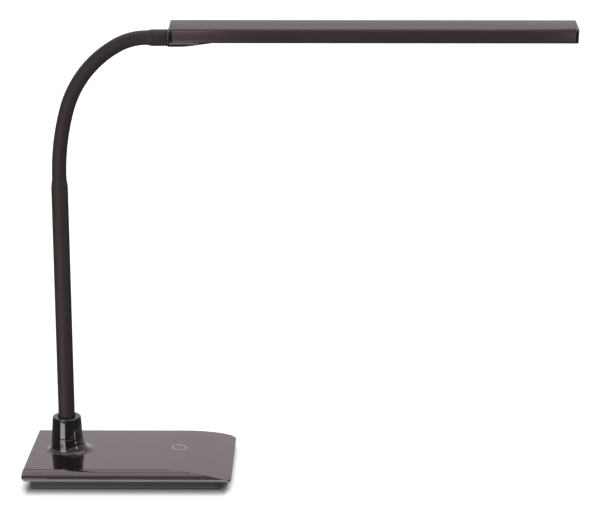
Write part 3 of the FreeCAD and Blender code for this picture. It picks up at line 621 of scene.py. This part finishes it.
HEAD_START, BAR_START, BAR_END, HEAD_END = 21.9, 24.9, 399.9, 402.9
BAR_HALF, BAR_LOW, BAR_HIGH, BAR_ROUND = 14.6, -1.2, 13.3, 2.8
MOUTH, MOUTH_EDGE, LEDGE, ROOM_HALF, ROOM_HIGH = 11.0, 0.25, 11.9, 13.2, 11.8
LIP_HIGH, LEDGE_HIGH = 1.1, 1.3


def bar_loop(inset, corner_steps=8):
    """The bar's outline across: a rectangle with round corners, from the middle of its underside."""
    half, low, high = BAR_HALF - inset, BAR_LOW + inset, BAR_HIGH - inset
    radius = max(BAR_ROUND - inset, 0.3)
    points = [(0, low)]
    for y, z, first in ((half - radius, low + radius, -90), (half - radius, high - radius, 0),
                        (radius - half, high - radius, 90), (radius - half, low + radius, 180)):
        angles = [math.radians(first + 90 * step / corner_steps) for step in range(corner_steps + 1)]
        points += [(y + radius * math.cos(angle), z + radius * math.sin(angle)) for angle in angles]
    return points


def bar_section(inset):
    """The bar's wall as one closed outline, open at the mouth."""
    edge = [(MOUTH, BAR_LOW + MOUTH_EDGE + inset), (MOUTH + MOUTH_EDGE, BAR_LOW + inset)]
    lip_top = (MOUTH, BAR_LOW + LIP_HIGH)
    room = [(LEDGE, BAR_LOW + LEDGE_HIGH), (ROOM_HALF, BAR_LOW + LEDGE_HIGH), (ROOM_HALF, ROOM_HIGH)]
    other_side = [(-y, z) for y, z in edge[::-1] + [lip_top] + room]
    return edge + bar_loop(inset)[1:] + other_side + room[::-1] + [lip_top]


bar_stations = [(BAR_START, 0.22), (BAR_START + 0.08, 0.08), (BAR_START + 0.25, 0.0)]
bar_stations += [(x, 0.0) for x in (120, 215, 310)]
bar_stations += [(BAR_END - 0.25, 0.0), (BAR_END - 0.08, 0.08), (BAR_END, 0.22)]
bar_mesh = skin([[Vector((x, y, z)) * MM for y, z in bar_section(inset)] for x, inset in bar_stations])
bar_mesh.transform(at_head)
bar_anodised = new_material("bar_anodised")
draw_marks = noise(1200, 3, (0.02, 1, 1))
finish_of(noise(12, 3).between(0.3, 0.7).mix(srgb(59, 50, 51), srgb(64, 54, 55)),
          draw_marks.between(0.3, 0.7, 0.21, 0.27), draw_marks, 0.000004, Metallic=0.2,
          Specular_IOR_Level=0.2, Specular_Tint=(1.0, 0.82, 0.87, 1.0))
new_piece("head_bar", bar_mesh, "head", bar_anodised, "head_profile", smooth=30)

cap_gloss = gloss_plastic("cap_gloss", srgb(16, 14, 14), srgb(20, 17, 17), 0.12, 0.05)
# Distance in from the cap's outer face, and how far its edge is drawn in there.
cap_steps = [(0.0, 0.75), (0.06, 0.5), (0.2, 0.28), (0.45, 0.1), (0.8, 0.0), (2.75, 0.0), (2.92, 0.08),
             (3.0, 0.22)]


def end_cap(name, node, outer_face, inward, wells):
    """A cap with round wells, given as side place, height, radius, start and end."""
    mesh_data = skin([[Vector((outer_face + inward * x, y, z)) * MM for y, z in bar_loop(inset)]
                      for x, inset in cap_steps])
    mesh_data.transform(at_head)
    cap = new_piece(name, mesh_data, None, cap_gloss, node, smooth=30)
    for y, z, radius, start, end in wells:
        well = drum(Vector((0, 0, 0)), radius * MM, start * MM, end * MM, steps=64)
        spot = Matrix.Translation(Vector((0, y, z)) * MM)
        well.transform(at_head @ spot @ Matrix.Rotation(math.pi / 2, 4, "Y"))
        carve(cap, well)
    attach(cap, "head")


def screw_wells(start, end):
    return [(side, 9.2, 2.3, start, end) for side in (-10.5, 10.5)]


end_cap("inner_cap", "inner_end_cap", HEAD_START, 1, [(0, 0, 8.75, 20, 26)] + screw_wells(21, 23.2))
end_cap("outer_cap", "outer_end_cap", HEAD_END, -1, screw_wells(401.6, 404))


# Diffuser, light strip and tape: opal acrylic slides into the bar's mouth below the strip.
# The strip is stuck to the bar's web with white heat-conducting tape; its chips are unlit.

opal_acrylic = new_material("opal_acrylic")
finish_of(noise(20, 3).between(0.3, 0.7).mix(srgb(226, 226, 222), srgb(234, 234, 231)),
          noise(600, 2).between(0.3, 0.7, 0.3, 0.42))
dress(opal_acrylic, "diffuser")
dress(satin_plastic("thermal_tape", srgb(190, 190, 186), srgb(205, 205, 200), 0.6, 0.75), "thermal_tape")
dress(satin_plastic("led_phosphor", srgb(226, 196, 92), srgb(236, 210, 110), 0.35, 0.5), "led_chips")


# Neck mount: a gloss black moulding, held to the head by screws.
# It is the bearing ring round the cuff's end; its lower half runs on as a tongue under the bar.

MOUNT, NOSE, TONGUE_FLAT, TONGUE_END = 8.7, 19.8, 32.5, 61.4
TONGUE_DEEP, TONGUE_TIP, TONGUE_ROUND, TONGUE_TOP = -9.0, -2.9, 300, -0.9
ring_mesh = turned([(HEAD_START + 0.1, 5.2), (NOSE + 0.4, 5.2), (NOSE, 5.6), (NOSE, MOUNT - 0.5),
                    (NOSE + 0.08, MOUNT - 0.25), (NOSE + 0.28, MOUNT - 0.06), (NOSE + 0.6, MOUNT),
                    (HEAD_START + 0.1, MOUNT)])
ring_mesh.transform(at_head)
mount_ring = new_piece("mount_ring", ring_mesh, None, cap_gloss, smooth=40)
ramp = arc_between((TONGUE_FLAT, TONGUE_DEEP), (TONGUE_END, TONGUE_TIP), TONGUE_ROUND, -1, 48)
reach = math.sqrt(MOUNT ** 2 - TONGUE_TOP ** 2)
sides = [-reach * math.cos(math.pi * step / 48) for step in range(49)]
rings = []
for x in spread(HEAD_START + 0.1, TONGUE_FLAT, 3) + spread(TONGUE_FLAT, TONGUE_END - 0.1, 0.8)[1:]:
    ramp_z = read(ramp, x, 0, 1) if x > TONGUE_FLAT else TONGUE_DEEP - 0.5
    ring = []
    for y in sides:
        # The higher of the round underside and the ramp, with a soft edge where they meet.
        round_z = -math.sqrt(MOUNT ** 2 - y ** 2)
        z = (round_z + ramp_z + math.sqrt((round_z - ramp_z) ** 2 + 0.35)) / 2
        ring.append(Vector((x, y, min(z, TONGUE_TOP))) * MM)
    rings.append(ring)
tongue_mesh = skin(rings)
tongue_mesh.transform(at_head)
tongue = new_piece("mount_tongue", tongue_mesh, None, cap_gloss, "neck_mount", smooth=40)
to_head = at_head.inverted()


def on_painted_highlight_line(face):
    """A thin line along each side of the tongue, given a light satin finish: a painted highlight just below
    the bar's edge.
    """
    place = to_head @ face.center / MM
    return -3.4 < place.z < -2.75 and place.x < 49 and abs(place.y) > 7.5


# The tongue's side lines get a light satin finish: a painted highlight.
paint(tongue, satin_plastic("tongue_painted_highlight", srgb(160, 152, 148), srgb(172, 164, 159), 0.35, 0.45), on_painted_highlight_line)
join(tongue, mount_ring)
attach(tongue, "head")


# The studio: a whitish floor with a painted shadow close to the base, where both its colour and its emission
# are lowered, and plain soft light.
# In front of the base is a bright field that shows only where the lamp mirrors it.

floor_mesh = bpy.data.meshes.new("studio_floor")
made = bmesh.new()
bmesh.ops.create_grid(made, x_segments=1, y_segments=1, size=6)
made.to_mesh(floor_mesh)
made.free()
floor = bpy.data.objects.new("studio_floor", floor_mesh)
bpy.context.collection.objects.link(floor)
floor_mesh.materials.append(new_material("studio_floor"))


def ray(kind):
    """1 where the light path is of the kind named, and 0 elsewhere."""
    return Flow.node("ShaderNodeLightPath", out=f"Is {kind} Ray")


SHADE_REACH = (1.05, 0.42, 0)
FIELD_TURN, FIELD_HALF, FIELD_LIGHT = 0.46, 0.28, 6.5
where = Flow.node("ShaderNodeNewGeometry", out="Position")
beside = where.vector("ABSOLUTE").vector("SUBTRACT", (HALF_LONG - 8 * MM, HALF_WIDE, 0))
beside = beside.vector("MAXIMUM", (0, 0, 0)).vector("MULTIPLY", SHADE_REACH).vector("LENGTH", out="Value")
# The floor's emission falls close to the base: a painted shadow round its foot.
glow_with_painted_shadow = beside.between(0.003, 0.011, 0, 0.42) + beside.between(0.1, 0.8, 0, 0.6)
sideways, ahead = where.part("X") - neck.x, neck.y - where.part("Y")
turn = (sideways.maths("ARCTAN2", ahead) + FIELD_TURN).maths("ABSOLUTE")
reach = (sideways * sideways + ahead * ahead).maths("SQRT")
field = (1 - turn.between(FIELD_HALF, FIELD_HALF + 0.04)) * reach.between(0.10, 0.12)
field = field * (1 - reach.between(0.48, 0.54))
# Seen in the lamp's gloss, the floor keeps its colour only near the base and is painted dark farther out: a
# painted pool of light.
far_mirrored = ray("Glossy") * where.vector("LENGTH", out="Value").between(0.09, 0.15)
# The floor's colour turns dark close to the base: a painted shadow.
pale_with_painted_shadow = beside.between(0, 0.005).mix((0.4, 0.4, 0.4, 1), (0.9, 0.9, 0.9, 1))
finish_of(far_mirrored.mix(pale_with_painted_shadow, (0.08, 0.08, 0.08, 1)), 0.9, Emission_Strength=1.0,
          Emission_Color=ray("Camera") * glow_with_painted_shadow + ray("Glossy") * (field * FIELD_LIGHT + 0.03))

world = bpy.data.worlds.new("studio")
bpy.context.scene.world = world
world.use_nodes = True
Flow.tree = world.node_tree
seen = ray("Camera").maths("MAXIMUM", ray("Glossy")).maths("MAXIMUM", ray("Transmission"))
Flow.link(world.node_tree.nodes["Background"].inputs["Color"], seen.mix((0.2, 0.2, 0.2, 1), (1, 1, 1, 1)))

for name, spot, aim, wide, long, power in (
        ("overhead", (0.1, 0.15, 1.3), (0.1, 0.15, 0), 1.4, 1.7, 15),
        ("softbox", (neck.x - 0.454, neck.y - 0.891, 0.23), (neck.x, neck.y, 0.23), 0.57, 0.45, 5.6),
        ("small_window", (neck.x + 0.9, neck.y - 0.44, 0.2), (neck.x, neck.y, 0.03), 0.1, 0.26, 1.2)):
    lamp = bpy.data.objects.new(name, bpy.data.lights.new(name, "AREA"))
    lamp.data.shape = "RECTANGLE"
    lamp.data.size, lamp.data.size_y = wide, long
    lamp.data.energy = power
    lamp.location = spot
    lamp.rotation_euler = (Vector(aim) - lamp.location).to_track_quat("-Z", "Y").to_euler()
    lamp.visible_camera = False
    bpy.context.collection.objects.link(lamp)
bpy.context.scene.view_settings.view_transform = "Standard"
